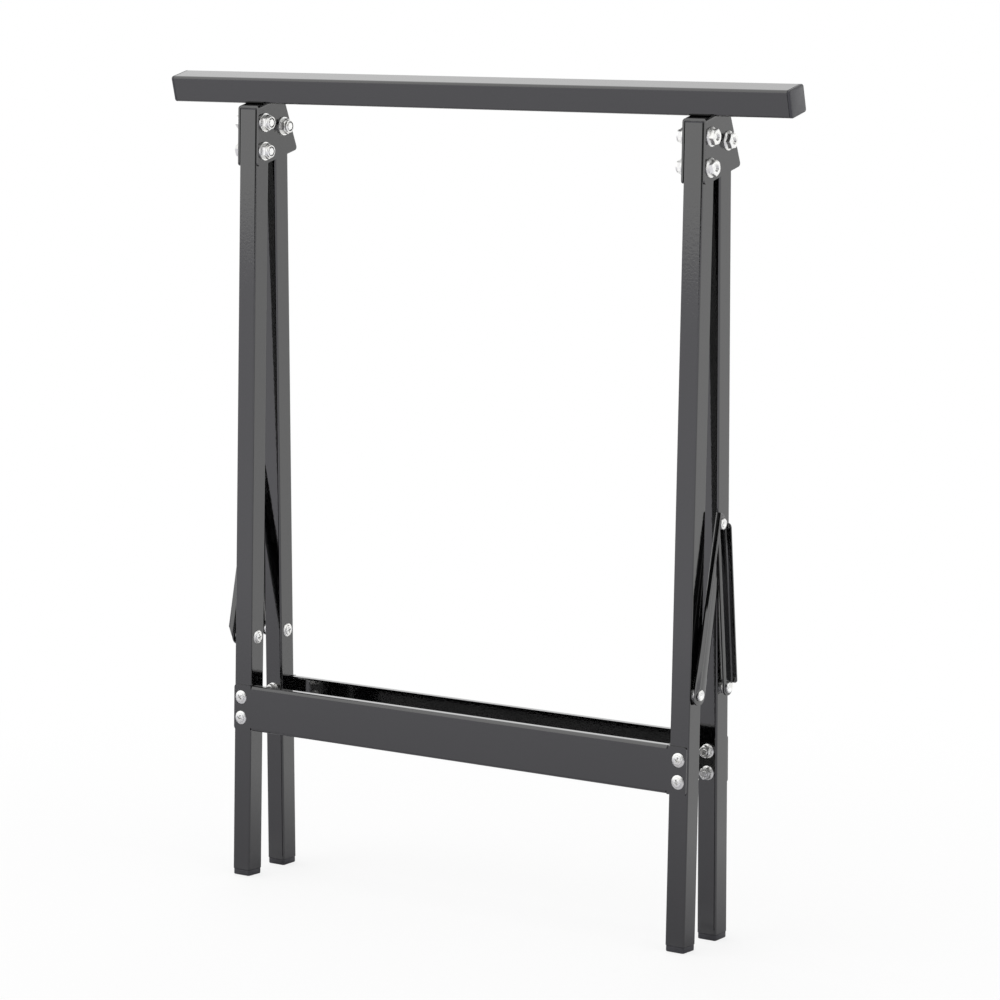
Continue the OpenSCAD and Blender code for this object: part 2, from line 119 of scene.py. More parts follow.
def makePowderCoat(settings):
    material, tree = newMaterial("black_powder_coat")
    place = addNode(tree, "ShaderNodeTexCoord").outputs["Object"]
    cloud = addNode(tree, "ShaderNodeTexNoise",
                    {"Scale": 1 / settings["cloudSize"], "Detail": settings["cloudDetail"]},
                    {"Vector": place})
    peel = addNode(tree, "ShaderNodeTexNoise",
                   {"Scale": 1 / settings["peelSize"], "Detail": settings["peelDetail"]},
                   {"Vector": place})
    colour = addNode(tree, "ShaderNodeMix", {"data_type": "RGBA"}, {0: cloud.outputs["Fac"]})
    colour.inputs[firstColour].default_value = linear(settings["black"])
    colour.inputs[secondColour].default_value = linear(settings["lift"])
    rough = addNode(tree, "ShaderNodeMapRange",
                    {"To Min": settings["roughLow"], "To Max": settings["roughHigh"]},
                    {"Value": cloud.outputs["Fac"]})
    bump = addNode(tree, "ShaderNodeBump",
                   {"Strength": settings["peelStrength"], "Distance": settings["peelDepth"]},
                   {"Height": peel.outputs["Fac"]})
    shader = addNode(tree, "ShaderNodeBsdfPrincipled", {"IOR": settings["ior"]},
                     {"Base Color": colour.outputs[mixedColour], "Roughness": rough.outputs["Result"],
                      "Normal": bump.outputs["Normal"]})
    closeMaterial(tree, shader)
    return material


# Bright zinc plate: pale metal with a faint cool and warm drift and a satin grain
zincPlate = {
    "cool": "#f4f6f8", "warm": "#f8f6f0", "roughLow": 0.28, "roughHigh": 0.42,
    "driftSize": 0.006, "driftDetail": 2.0,
    "grainSize": 0.0005, "grainDetail": 2.0, "grainDepth": 0.000006, "grainStrength": 0.3,
}


def makeZincPlate(settings):
    material, tree = newMaterial("bright_zinc_plate")
    place = addNode(tree, "ShaderNodeTexCoord").outputs["Object"]
    drift = addNode(tree, "ShaderNodeTexNoise",
                    {"Scale": 1 / settings["driftSize"], "Detail": settings["driftDetail"]},
                    {"Vector": place})
    grain = addNode(tree, "ShaderNodeTexNoise",
                    {"Scale": 1 / settings["grainSize"], "Detail": settings["grainDetail"]},
                    {"Vector": place})
    colour = addNode(tree, "ShaderNodeMix", {"data_type": "RGBA"}, {0: drift.outputs["Fac"]})
    colour.inputs[firstColour].default_value = linear(settings["cool"])
    colour.inputs[secondColour].default_value = linear(settings["warm"])
    rough = addNode(tree, "ShaderNodeMapRange",
                    {"To Min": settings["roughLow"], "To Max": settings["roughHigh"]},
                    {"Value": grain.outputs["Fac"]})
    bump = addNode(tree, "ShaderNodeBump",
                   {"Strength": settings["grainStrength"], "Distance": settings["grainDepth"]},
                   {"Height": grain.outputs["Fac"]})
    shader = addNode(tree, "ShaderNodeBsdfPrincipled", {"Metallic": 1.0},
                     {"Base Color": colour.outputs[mixedColour], "Roughness": rough.outputs["Result"],
                      "Normal": bump.outputs["Normal"]})
    closeMaterial(tree, shader)
    return material


# Moulded black plastic: duller than the paint, with a fine spark-eroded grain
mouldedPlastic = {
    "black": "#3a3a3e", "lift": "#414145", "rough": 0.36, "ior": 1.55,
    "cloudSize": 0.01, "cloudDetail": 2.0,
    "grainSize": 0.0004, "grainDetail": 1.0, "grainDepth": 0.00002, "grainStrength": 0.3,
}


def makeMouldedPlastic(settings):
    material, tree = newMaterial("moulded_black_plastic")
    place = addNode(tree, "ShaderNodeTexCoord").outputs["Object"]
    cloud = addNode(tree, "ShaderNodeTexNoise",
                    {"Scale": 1 / settings["cloudSize"], "Detail": settings["cloudDetail"]},
                    {"Vector": place})
    grain = addNode(tree, "ShaderNodeTexNoise",
                    {"Scale": 1 / settings["grainSize"], "Detail": settings["grainDetail"]},
                    {"Vector": place})
    colour = addNode(tree, "ShaderNodeMix", {"data_type": "RGBA"}, {0: cloud.outputs["Fac"]})
    colour.inputs[firstColour].default_value = linear(settings["black"])
    colour.inputs[secondColour].default_value = linear(settings["lift"])
    bump = addNode(tree, "ShaderNodeBump",
                   {"Strength": settings["grainStrength"], "Distance": settings["grainDepth"]},
                   {"Height": grain.outputs["Fac"]})
    shader = addNode(tree, "ShaderNodeBsdfPrincipled",
                     {"Roughness": settings["rough"], "IOR": settings["ior"]},
                     {"Base Color": colour.outputs[mixedColour], "Normal": bump.outputs["Normal"]})
    closeMaterial(tree, shader)
    return material


finishes = {
    "black_paint": makePowderCoat(powderCoat),
    "zinc_steel": makeZincPlate(zincPlate),
    "black_plastic": makeMouldedPlastic(mouldedPlastic),
}


def giveFinish(piece, slot):
    piece.data.materials.clear()
    piece.data.materials.append(finishes[slot])


plasticWords = ("cap", "foot", "plugs")
zincWords = ("bolts", "nuts", "bushes", "pins", "spacers", "rivet")
for name, piece in nodes.items():
    words = name.split("_")
    if any(word in words for word in plasticWords):
        giveFinish(piece, "black_plastic")
    elif any(word in words for word in zincWords):
        giveFinish(piece, "zinc_steel")
    else:
        giveFinish(piece, "black_paint")
print("finishes given to the nodes")

# Modelling: first plane of an outline, gap to merge, a tool's reach past a piece, likeness of normals
modelling = {"seed": 0.001, "merge": 0.000002, "overrun": 0.001, "alike": 0.9}


def arc(centre, radius, start, end, steps):
    turns = [math.radians(start + (end - start) * i / steps) for i in range(steps + 1)]
    return [(centre[0] + radius * math.cos(turn), centre[1] + radius * math.sin(turn)) for turn in turns]


def pickOnly(*pieces):
    bpy.ops.object.select_all(action="DESELECT")
    for piece in pieces:
        piece.select_set(True)
    bpy.context.view_layer.objects.active = pieces[0]


def pickFaces(piece, test):
    bpy.ops.object.mode_set(mode="EDIT")
    bpy.ops.mesh.select_mode(type="FACE")
    bpy.ops.mesh.select_all(action="DESELECT")
    bpy.ops.object.mode_set(mode="OBJECT")
    for face in piece.data.polygons:
        face.select = test(face)
    bpy.ops.object.mode_set(mode="EDIT")


# A chain of edges through the points; the piece stays in edit mode, all selected
def drawOutline(name, points):
    bpy.ops.object.select_all(action="DESELECT")
    bpy.ops.mesh.primitive_plane_add(size=modelling["seed"])
    piece = bpy.context.object
    piece.name = name
    bpy.ops.object.mode_set(mode="EDIT")
    bpy.ops.mesh.select_mode(type="VERT")
    bpy.ops.mesh.select_all(action="SELECT")
    bpy.ops.mesh.merge(type="CENTER")
    bpy.ops.transform.translate(value=points[0])
    for before, after in zip(points, points[1:]):
        step = tuple(b - a for a, b in zip(before, after))
        bpy.ops.mesh.extrude_region_move(TRANSFORM_OT_translate={"value": step})
    bpy.ops.mesh.select_all(action="SELECT")
    return piece


def closePiece():
    bpy.ops.mesh.select_all(action="SELECT")
    bpy.ops.mesh.remove_doubles(threshold=modelling["merge"])
    bpy.ops.mesh.normals_make_consistent(inside=False)
    bpy.ops.object.mode_set(mode="OBJECT")


def spunPiece(name, profile, steps):
    piece = drawOutline(name, [(out, 0, up) for out, up in profile])
    bpy.ops.mesh.spin(steps=steps, angle=2 * math.pi, center=(0, 0, 0), axis=(0, 0, 1))
    closePiece()
    return piece


def prismPiece(name, points, push):
    piece = drawOutline(name, points + points[:1])
    bpy.ops.mesh.remove_doubles(threshold=modelling["merge"])
    bpy.ops.mesh.edge_face_add()
    bpy.ops.mesh.extrude_region_move(TRANSFORM_OT_translate={"value": push})
    closePiece()
    return piece


def applyModifier(piece, kind, settings):
    pickOnly(piece)
    modifier = piece.modifiers.new(kind.lower(), kind)
    for key, value in settings.items():
        setattr(modifier, key, value)
    bpy.ops.object.modifier_apply(modifier=modifier.name)


def discard(*models):
    for model in models:
        bpy.data.objects.remove(model)


def combine(piece, tool, operation):
    applyModifier(piece, "BOOLEAN", {"operation": operation, "object": tool, "solver": "EXACT"})
    discard(tool)


def smoothByAngle(piece, degrees):
    pickOnly(piece)
    bpy.ops.object.shade_smooth_by_angle(angle=math.radians(degrees))


def setCopies(model, name, places):
    copies = []
    for place in places:
        pickOnly(model)
        bpy.ops.object.duplicate()
        copy = bpy.context.object
        copy.matrix_world = place
        pickOnly(copy)
        bpy.ops.object.transform_apply(location=True, rotation=True, scale=True)
        copies.append(copy)
    pickOnly(*copies)
    if len(copies) > 1:
        bpy.ops.object.join()
    joined = bpy.context.object
    joined.name = name
    # A mirrored copy is inside out until its normals are made anew
    if places[0].determinant() < 0:
        bpy.ops.object.mode_set(mode="EDIT")
        closePiece()
    return joined


# Copies of a model at its places, as one piece that rides on a body and stands for CAD nodes, if any
def standFor(model, name, body, slot, replaced, places):
    made = setCopies(model, name, places)
    giveFinish(made, slot)
    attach(made, body)
    if replaced:
        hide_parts(*replaced)


# Moulded inserts: the feet and the beam's end caps, each with a rounded sole, a shoulder and a spigot
footInsert = {
    "side": 0.0192, "bend": 0.0019, "edge": 0.0009, "edgeShare": 0.3, "thick": 0.006, "shoulder": 0.0005,
    "spigot": 0.0168, "spigotLong": 0.015, "lead": 0.001, "bendSteps": 5, "smooth": 40,
}
capInsert = {
    "side": 0.025, "bend": 0.0025, "edge": 0.0011, "edgeShare": 0.3, "thick": 0.003, "shoulder": 0.0005,
    "spigot": 0.0218, "spigotLong": 0.012, "lead": 0.001, "bendSteps": 5, "smooth": 40,
    "x": 0.3425, "beamSide": 0.025,
}


# Outline of an insert from its sole to its spigot's end: how far in from its side, and up from its sole
def insertOutline(settings):
    edge, thick, shoulder, lead = (settings[key] for key in ("edge", "thick", "shoulder", "lead"))
    middle = edge * settings["edgeShare"]
    spigotIn = (settings["side"] - settings["spigot"]) / 2
    far = thick + settings["spigotLong"]
    sole = [(edge, 0), (middle, middle), (0, edge), (0, thick - shoulder), (shoulder, thick)]
    return sole + [(spigotIn, thick), (spigotIn, far - lead), (spigotIn + lead, far)]


def makeInsert(name, settings):
    side = settings["side"]
    outline = insertOutline(settings)
    bpy.ops.object.select_all(action="DESELECT")
    bpy.ops.mesh.primitive_plane_add(size=side)
    insert = bpy.context.object
    insert.name = name
    bpy.ops.object.mode_set(mode="EDIT")
    bpy.ops.mesh.select_mode(type="VERT")
    bpy.ops.mesh.select_all(action="SELECT")
    bpy.ops.mesh.bevel(affect="VERTICES", offset=settings["bend"], segments=settings["bendSteps"])
    bpy.ops.mesh.select_mode(type="FACE")
    bpy.ops.mesh.select_all(action="SELECT")
    share = (side - 2 * settings["edge"]) / side
    bpy.ops.transform.resize(value=(share, share, 1))
    for (inBefore, upBefore), (inNext, upNext) in zip(outline, outline[1:]):
        bpy.ops.mesh.extrude_region_move(TRANSFORM_OT_translate={"value": (0, 0, upNext - upBefore)})
        share = (side - 2 * inNext) / (side - 2 * inBefore)
        bpy.ops.transform.resize(value=(share, share, 1))
    bpy.ops.mesh.select_all(action="SELECT")
    bpy.ops.mesh.normals_make_consistent(inside=False)
    bpy.ops.object.mode_set(mode="OBJECT")
    smoothByAngle(insert, settings["smooth"])
    return insert


foot = makeInsert("foot", footInsert)
for end, legFrame, back in (("front", frontFrame, leg["side"] / 2), ("rear", rearFrame, 0)):
    places = [placeIn(legFrame, side * leg["x"], back, 0) for side in sides]
    standFor(foot, end + "_feet", end + "_frame", "black_plastic",
             (end + "_foot_left", end + "_foot_right"), places)
cap = makeInsert("cap", capInsert)
places = [placeIn(beamFrame, side * capInsert["x"], 0, capInsert["beamSide"] / 2) @ inward[side]
          for side in sides]
standFor(cap, "beam_caps", "front_frame", "black_plastic", ("beam_cap_left", "beam_cap_right"), places)
discard(foot, cap)
print("feet and caps made")

# Screws and pins: a pan head with a cross recess on a washer flange, and a chamfered, riveted or plain shank
screwHead = {
    "headH": 0.0026, "flangeD": 0.013, "flangeEdge": 0.0005, "flangeRim": 0.0008, "flangeH": 0.0011,
    "panD": 0.0092, "panRound": 0.0009, "panCrown": 0.0003, "roundSteps": 4, "shankD": 0.006,
    "crossReach": 0.0031, "crossWidth": 0.0015, "crossDepth": 0.002, "crossTaper": 0.5,
    "steps": 48, "smooth": 35,
}
stretcherScrew = {"length": 0.0277, "tip": 0.0006, "x": 0.248, "ups": (0.1555, 0.1755), "seat": -0.0015}
bracePin = {
    "frontLength": 0.0243, "rearLength": 0.024,
    "rivetD": 0.01, "rivetH": 0.002, "rivetRound": 0.0009, "roundSteps": 5,
    "dishD": 0.0062, "dishFloorD": 0.0034, "dishDepth": 0.0009,
}
# Turn of the first head or nut of a row, and from one to the next, in degrees
headTurn = {"first": 17, "step": 31}


def crossCutter(settings):
    half, alike = settings["crossWidth"] / 2, modelling["alike"]
    core = half + modelling["merge"]
    bpy.ops.object.select_all(action="DESELECT")
    bpy.ops.mesh.primitive_cube_add(size=settings["crossWidth"])
    cutter = bpy.context.object
    reach = settings["crossReach"] - half
    for direction in (Vector((1, 0, 0)), Vector((-1, 0, 0)), Vector((0, 1, 0)), Vector((0, -1, 0))):
        pickFaces(cutter, lambda face: face.normal.dot(direction) > alike and face.center.length < core)
        bpy.ops.mesh.extrude_region_move(TRANSFORM_OT_translate={"value": direction * reach})
        bpy.ops.object.mode_set(mode="OBJECT")
    pickFaces(cutter, lambda face: face.normal.z > alike)
    bpy.ops.transform.translate(value=(0, 0, settings["crossDepth"] - settings["crossWidth"]))
    bpy.ops.transform.resize(value=(settings["crossTaper"], settings["crossTaper"], 1))
    bpy.ops.object.mode_set(mode="OBJECT")
    cutter.location.z = half - settings["headH"]
    pickOnly(cutter)
    bpy.ops.object.transform_apply(location=True, rotation=True, scale=True)
    return cutter


def makeScrew(name, settings, tail):
    flangeR, panR, shankR = settings["flangeD"] / 2, settings["panD"] / 2, settings["shankD"] / 2
    bend, edge, rim = settings["panRound"], settings["flangeEdge"], settings["flangeRim"]
    shoulder = settings["headH"] - settings["panCrown"]
    crown = [(0, -settings["headH"])]
    pan = arc((panR - bend, bend - shoulder), bend, -90, 0, settings["roundSteps"])
    flange = [(panR, -settings["flangeH"]), (flangeR - edge, -rim), (flangeR, edge - rim), (flangeR, 0)]
    screw = spunPiece(name, crown + pan + flange + [(shankR, 0)] + tail, settings["steps"])
    combine(screw, crossCutter(settings), "DIFFERENCE")
    smoothByAngle(screw, settings["smooth"])
    return screw


def chamferTail(shankR, length, tip):
    return [(shankR, length - tip), (shankR - tip, length), (0, length)]


def rivetTail(shankR, length, settings):
    rivetR, bend, top = settings["rivetD"] / 2, settings["rivetRound"], length + settings["rivetH"]
    floor = top - settings["dishDepth"]
    head = [(rivetR, length)] + arc((rivetR - bend, top - bend), bend, 0, 90, settings["roundSteps"])
    dish = [(settings["dishD"] / 2, top), (settings["dishFloorD"] / 2, floor), (0, floor)]
    return [(shankR, length)] + head + dish


def turned(index):
    return Matrix.Rotation(math.radians(headTurn["first"] + headTurn["step"] * index), 4, "Z")


stretcherSpots = [(side * stretcherScrew["x"], up) for side in sides for up in stretcherScrew["ups"]]


def stretcherPlaces(legFrame, back, facing):
    return [placeIn(legFrame, x, back, up) @ facing @ turned(index)
            for index, (x, up) in enumerate(stretcherSpots)]


shankR = screwHead["shankD"] / 2
screwTail = chamferTail(shankR, stretcherScrew["length"], stretcherScrew["tip"])
screw = makeScrew("stretcherScrew", screwHead, screwTail)
rearFace = leg["side"] / 2 - stretcherScrew["seat"]
standFor(screw, "front_stretcher_screws", "front_frame", "zinc_steel", ("front_stretcher_bolts",),
         stretcherPlaces(frontFrame, stretcherScrew["seat"], toBack))
standFor(screw, "rear_stretcher_screws", "rear_frame", "zinc_steel", ("rear_stretcher_bolts",),
         stretcherPlaces(rearFrame, rearFace, toFront))
pinTails = {
    "front": rivetTail(shankR, bracePin["frontLength"], bracePin),
    "rear": [(shankR, bracePin["rearLength"]), (0, bracePin["rearLength"])],
}
for end, tail in pinTails.items():
    pin = makeScrew(end + "Pin", screwHead, tail)
    at = middleOf(end + "_brace_spacers")
    places = [Matrix.Translation((side * innerX, *at)) @ outward[side] @ turned(side) for side in sides]
    standFor(pin, end + "_cross_pins", end + "_frame", "zinc_steel", (end + "_brace_pins",), places)
    discard(pin)
discard(screw)
print("screws and pins made")

# Folding links: bent angles with round web ends, the front flange cut aslant at its pin, the rear one square
linkSheet = {
    "thick": 0.0015, "bend": 0.003, "depth": 0.0067, "steps": 8, "holeD": 0.0064, "holeSteps": 48,
    "merge": 0.00003, "flatAngle": 1, "edge": 0.00015, "edgeSteps": 2, "edgeAngle": 40, "smooth": 30,
}
frontAngle = {
    "length": 0.1535, "width": 0.019, "across": 1, "web": 0.0025, "topTurn": 90, "flangeTop": 0.163,
    "flangeLow": -0.003, "slant": 0.009, "lowRound": 0.0005, "topRound": 0.002,
}
rearAngle = {
    "length": 0.1505, "width": 0.015, "across": -1, "web": 0.0043, "topTurn": 180, "flangeTop": 0.1505,
    "flangeLow": 0.003, "slant": 0.0, "lowRound": 0.002, "topRound": 0.0045,
}


# Section of the bent sheet, as out and across, with its flange on the lesser side
def sectionOutline(sheet, angle):
    half, thick, bend, steps = angle["width"] / 2, sheet["thick"], sheet["bend"], sheet["steps"]
    edge, tip = half + modelling["overrun"], sheet["depth"] + modelling["overrun"]
    middle = (bend, bend - half)
    outside = [(0, edge)] + arc(middle, bend, 180, 270, steps) + [(tip, -half)]
    inside = [(tip, thick - half)] + arc(middle, bend - thick, 270, 180, steps) + [(thick, edge)]
    return outside + inside


# Outline of the web, as across and up from the pin
def webOutline(sheet, angle):
    half, endSteps = angle["width"] / 2, 2 * sheet["steps"]
    edge = -half - modelling["overrun"]
    lowEnd = arc((0, 0), half, 180, 360, endSteps)
    topEnd = arc((0, angle["length"]), half, 0, angle["topTurn"], endSteps)
    return [(edge, 0)] + lowEnd + topEnd + [(edge, topEnd[-1][1])]


# Outline of the flange and the web's edge, as out and up from the pin, between the heights low and high
def flangeOutline(sheet, angle, low, high):
    thick, depth, steps, behind = sheet["thick"], sheet["depth"], sheet["steps"], -modelling["overrun"]
    start, top = angle["flangeLow"], angle["flangeTop"]
    lowRound, topRound = angle["lowRound"], angle["topRound"]
    lowCorner = arc((depth - lowRound, start + angle["slant"] + lowRound), lowRound, 270, 360, steps)
    topCorner = arc((depth - topRound, top - topRound), topRound, 0, 90, steps)
    lowEnd = [(behind, low), (thick, low), (thick, start)] + lowCorner
    return lowEnd + topCorner + [(thick, top), (thick, high), (behind, high)]


def makeAngle(name, sheet, angle):
    across, over = angle["across"], modelling["overrun"]
    half, length = angle["width"] / 2, angle["length"]
    low, high = -half - over, length + half + over
    section = [(out, back * across, low) for out, back in sectionOutline(sheet, angle)]
    web = [(-over, back * across, up) for back, up in webOutline(sheet, angle)]
    flange = [(out, low, up) for out, up in flangeOutline(sheet, angle, low, high)]
    link = prismPiece(name, section, (0, 0, high - low))
    combine(link, prismPiece("webTool", web, (sheet["depth"] + 3 * over, 0, 0)), "INTERSECT")
    combine(link, prismPiece("flangeTool", flange, (0, -2 * low, 0)), "INTERSECT")
    for up in (0, length):
        bpy.ops.object.select_all(action="DESELECT")
        bpy.ops.mesh.primitive_cylinder_add(
            vertices=sheet["holeSteps"], radius=sheet["holeD"] / 2, depth=2 * sheet["depth"],
            location=(0, 0, up), rotation=(0, math.pi / 2, 0))
        combine(link, bpy.context.object, "DIFFERENCE")
    pickOnly(link)
    bpy.ops.object.mode_set(mode="EDIT")
    bpy.ops.mesh.select_all(action="SELECT")
    bpy.ops.mesh.remove_doubles(threshold=sheet["merge"])
    bpy.ops.mesh.dissolve_limited(angle_limit=math.radians(sheet["flatAngle"]))
    bpy.ops.object.mode_set(mode="OBJECT")
    applyModifier(link, "BEVEL", {"width": sheet["edge"], "segments": sheet["edgeSteps"],
                                  "limit_method": "ANGLE", "angle_limit": math.radians(sheet["edgeAngle"])})
    smoothByAngle(link, sheet["smooth"])
    return link


knee = middleOf("knee_rivet_right")
for end, angle in (("front", frontAngle), ("rear", rearAngle)):
    link = makeAngle(end + "Angle", linkSheet, angle)
    at = middleOf(end + "_brace_spacers")
    tilt = Matrix.Rotation(-math.atan2(knee[0] - at[0], knee[1] - at[1]), 4, "X")
    onRight = Matrix.Translation((outerX + angle["web"], *at)) @ tilt
    for hand, side in hands.items():
        standFor(link, end + "_angle_" + hand, end + "_brace_" + hand, "black_paint",
                 (end + "_link_" + hand,), [Matrix.Scale(side, 4, (1, 0, 0)) @ onRight])
    discard(link)
print("links made")

# Rivets of the links: dished heads, the knee's with a plain head behind and the rear pin's with a bare end
linkRivet = {
    "kneeBackD": 0.01, "kneeBackH": 0.0012, "kneeSeat": 0.0061, "rearSeat": 0.0058,
    "steps": 48, "smooth": 35,
}
frontWeb, rearWeb, kneeBackR = frontAngle["web"], rearAngle["web"], linkRivet["kneeBackD"] / 2
kneeSole = frontWeb - linkRivet["kneeBackH"]
rivetBacks = {
    "knee": [(0, kneeSole), (kneeBackR, kneeSole), (kneeBackR, frontWeb), (shankR, frontWeb)],
    "rear": [(0, rearWeb), (shankR, rearWeb)],
}
for end, body, at in (("knee", "front", knee), ("rear", "rear", middleOf("rear_brace_spacers"))):
    profile = rivetBacks[end] + rivetTail(shankR, linkRivet[end + "Seat"], bracePin)
    rivet = spunPiece(end + "Rivet", profile, linkRivet["steps"])
    smoothByAngle(rivet, linkRivet["smooth"])
    for hand, side in hands.items():
        place = Matrix.Translation((side * outerX, *at)) @ outward[side]
        standFor(rivet, end + "_dished_rivet_" + hand, body + "_brace_" + hand, "zinc_steel",
                 (end + "_rivet_" + hand,), [place])
    discard(rivet)
print("rivets made")

# Hexagon fasteners: a chamfered hexagon on a sloped flange, as a bolt with a dish in its head and as a nut
hexagonCorners = 6
bracketBolt = {
    "flangeD": 0.0175, "flangeEdge": 0.0004, "flangeRim": 0.0011, "flangeH": 0.0021, "neckD": 0.0134,
    "flats": 0.013, "high": 0.0062, "sink": 0.0004, "chamferIn": 0.0016, "chamferH": 0.0008,
    "dishD": 0.0068, "dishFloorD": 0.0036, "dishDepth": 0.0018,
    "shankD": 0.008, "length": 0.0331, "tip": 0.0008, "steps": 48, "smooth": 25,
    "seatX": 0.2597, "places": ((0.01, 0.7275), (0.01, 0.7005), (0.0385, 0.724)),
}
stretcherNut = {
    "flangeD": 0.013, "flangeEdge": 0.0004, "flangeRim": 0.0008, "flangeH": 0.0016, "neckD": 0.0104,
    "flats": 0.01, "high": 0.006, "sink": 0.0004, "chamferIn": 0.0012, "chamferH": 0.0006,
    "boreD": 0.0061, "mouthD": 0.0074, "mouthDepth": 0.0007, "seatD": 0.0068, "steps": 48, "smooth": 25,
}


def makeHexagon(name, settings, inside, below):
    cornerR = settings["flats"] / 2 / math.cos(math.pi / hexagonCorners)
    top, low = -settings["high"], -settings["sink"]
    chamfer = [(cornerR - settings["chamferIn"], top), (cornerR, top + settings["chamferH"])]
    piece = spunPiece(name, inside + chamfer + [(cornerR, low), (inside[0][0], low)], settings["steps"])
    bpy.ops.object.select_all(action="DESELECT")
    bpy.ops.mesh.primitive_cylinder_add(
        vertices=hexagonCorners, radius=cornerR, depth=2 * (settings["high"] + modelling["overrun"]))
    combine(piece, bpy.context.object, "INTERSECT")
    flangeR, neckR, edge = settings["flangeD"] / 2, settings["neckD"] / 2, settings["flangeEdge"]
    rim, neck = -settings["flangeRim"], -settings["flangeH"]
    slope = [(below[-1][0], neck), (neckR, neck), (flangeR - edge, rim), (flangeR, rim + edge)]
    flange = spunPiece(name + "Flange", slope + [(flangeR, 0)] + below, settings["steps"])
    combine(piece, flange, "UNION")
    smoothByAngle(piece, settings["smooth"])
    return piece


def makeBracketBolt(name, settings):
    floor, top, shankR = settings["dishDepth"] - settings["high"], -settings["high"], settings["shankD"] / 2
    dish = [(0, floor), (settings["dishFloorD"] / 2, floor), (settings["dishD"] / 2, top)]
    shank = [(shankR, 0)] + chamferTail(shankR, settings["length"], settings["tip"])
    return makeHexagon(name, settings, dish, shank)


def makeStretcherNut(name, settings):
    boreR, seatR, top = settings["boreD"] / 2, settings["seatD"] / 2, -settings["high"]
    mouth = [(boreR, top + settings["mouthDepth"]), (settings["mouthD"] / 2, top)]
    seat = [(seatR, 0), (seatR, -settings["flangeH"])]
    return makeHexagon(name, settings, [(boreR, -settings["sink"])] + mouth, seat)


bracketSpots = [(side, back, up) for side in sides for back, up in bracketBolt["places"]]
bolt = makeBracketBolt("bracketBolt", bracketBolt)
boltPlaces = [placeIn(frontFrame, side * bracketBolt["seatX"], back, up) @ inward[side] @ turned(index)
              for index, (side, back, up) in enumerate(bracketSpots)]
standFor(bolt, "bracket_bolts", "front_frame", "zinc_steel", ("leg_bolts", "pivot_bolts"), boltPlaces)
nut = makeStretcherNut("stretcherNut", stretcherNut)
standFor(nut, "front_flange_nuts", "front_frame", "zinc_steel", ("front_stretcher_nuts",),
         stretcherPlaces(frontFrame, leg["side"], toFront))
standFor(nut, "rear_flange_nuts", "rear_frame", "zinc_steel", ("rear_stretcher_nuts",),
         stretcherPlaces(rearFrame, -leg["side"] / 2, toBack))
discard(bolt, nut)
print("bolts and nuts made")

# Locking rings: the nylon ring in a bracket nut's mouth, round the end of its bolt, in dark plastic as
# painted shade in the mouth
lockRing = {
    "inD": 0.0081, "outD": 0.00936, "low": -0.0009, "high": -0.00035, "edge": 0.00012, "faceX": 0.2268,
    "steps": 40, "smooth": 50,
}


def makeLockRing(name, settings):
    inner, outer = settings["inD"] / 2, settings["outD"] / 2
    edge, low, high = settings["edge"], settings["low"], settings["high"]
    profile = [(inner, low), (inner, high - edge), (inner + edge, high), (outer - edge, high),
               (outer, high - edge), (outer, low), (inner, low)]
    ring = spunPiece(name, profile, settings["steps"])
    smoothByAngle(ring, settings["smooth"])
    return ring


ring = makeLockRing("lockRing", lockRing)
ringPlaces = [placeIn(frontFrame, side * lockRing["faceX"], back, up) @ inward[side]
              for side, back, up in bracketSpots]
# The ring is real; its dark plastic is painted shade in the nut's mouth
standFor(ring, "bracket_lock_rings", "front_frame", "black_plastic", (), ringPlaces)
discard(ring)
print("locking rings made")

# Weld beads: the rippled fillet that holds each bracket's web to the back of the beam
weldBead = {
    "rippleLong": 0.0021, "rippleWide": 0.0019, "rippleHigh": 0.0017, "pitch": 0.0015, "count": 13,
    "steps": 24, "rings": 12, "voxel": 0.00025, "smooth": 60, "back": 0.0131, "up": 0.0007,
}


def makeWeldBead(settings):
    bpy.ops.object.select_all(action="DESELECT")
    bpy.ops.mesh.primitive_uv_sphere_add(segments=settings["steps"], ring_count=settings["rings"], radius=1)
    bead = bpy.context.object
    bpy.ops.object.mode_set(mode="EDIT")
    bpy.ops.mesh.select_all(action="SELECT")
    bpy.ops.transform.resize(value=(settings["rippleLong"], settings["rippleWide"], settings["rippleHigh"]))
    run = settings["pitch"] * (settings["count"] - 1)
    bpy.ops.transform.translate(value=(-run / 2, 0, 0))
    bpy.ops.object.mode_set(mode="OBJECT")
    applyModifier(bead, "ARRAY", {"count": settings["count"], "use_relative_offset": False,
                                  "use_constant_offset": True,
                                  "constant_offset_displace": (settings["pitch"], 0, 0)})
    applyModifier(bead, "REMESH", {"mode": "VOXEL", "voxel_size": settings["voxel"]})
    smoothByAngle(bead, settings["smooth"])
    return bead


bead = makeWeldBead(weldBead)
beadPlaces = [placeIn(beamFrame, side * leg["x"], weldBead["back"], weldBead["up"]) for side in sides]
standFor(bead, "weld_beads", "front_frame", "black_paint", (), beadPlaces)
discard(bead)
print("weld beads made")

# Stage: a floor with painted shade, darkest just in front of the object, for the glossy faces to mirror; the
# camera sees it white, with a soft shadow
stage = {
    "floorSize": 40.0, "nearShade": "#c2c1c6", "front": "#ecebf1", "behind": "#ffffff", "white": "#ffffff",
    "deepestShade": -0.1, "frontReach": -1.9, "backReach": 0.35,
    "shadowShare": 0.2, "shadowNear": 0.4, "shadowFar": 1.1,
    "roomLight": 1.22,
    "dimSides": (
        {"toward": (0.556, -0.806, 0.2), "edge": 0.7, "core": 0.93, "share": 0.06},
        {"toward": (0.3, 0.6, 0.742), "edge": 0.8, "core": 0.94, "share": 0.15},
    ),
}


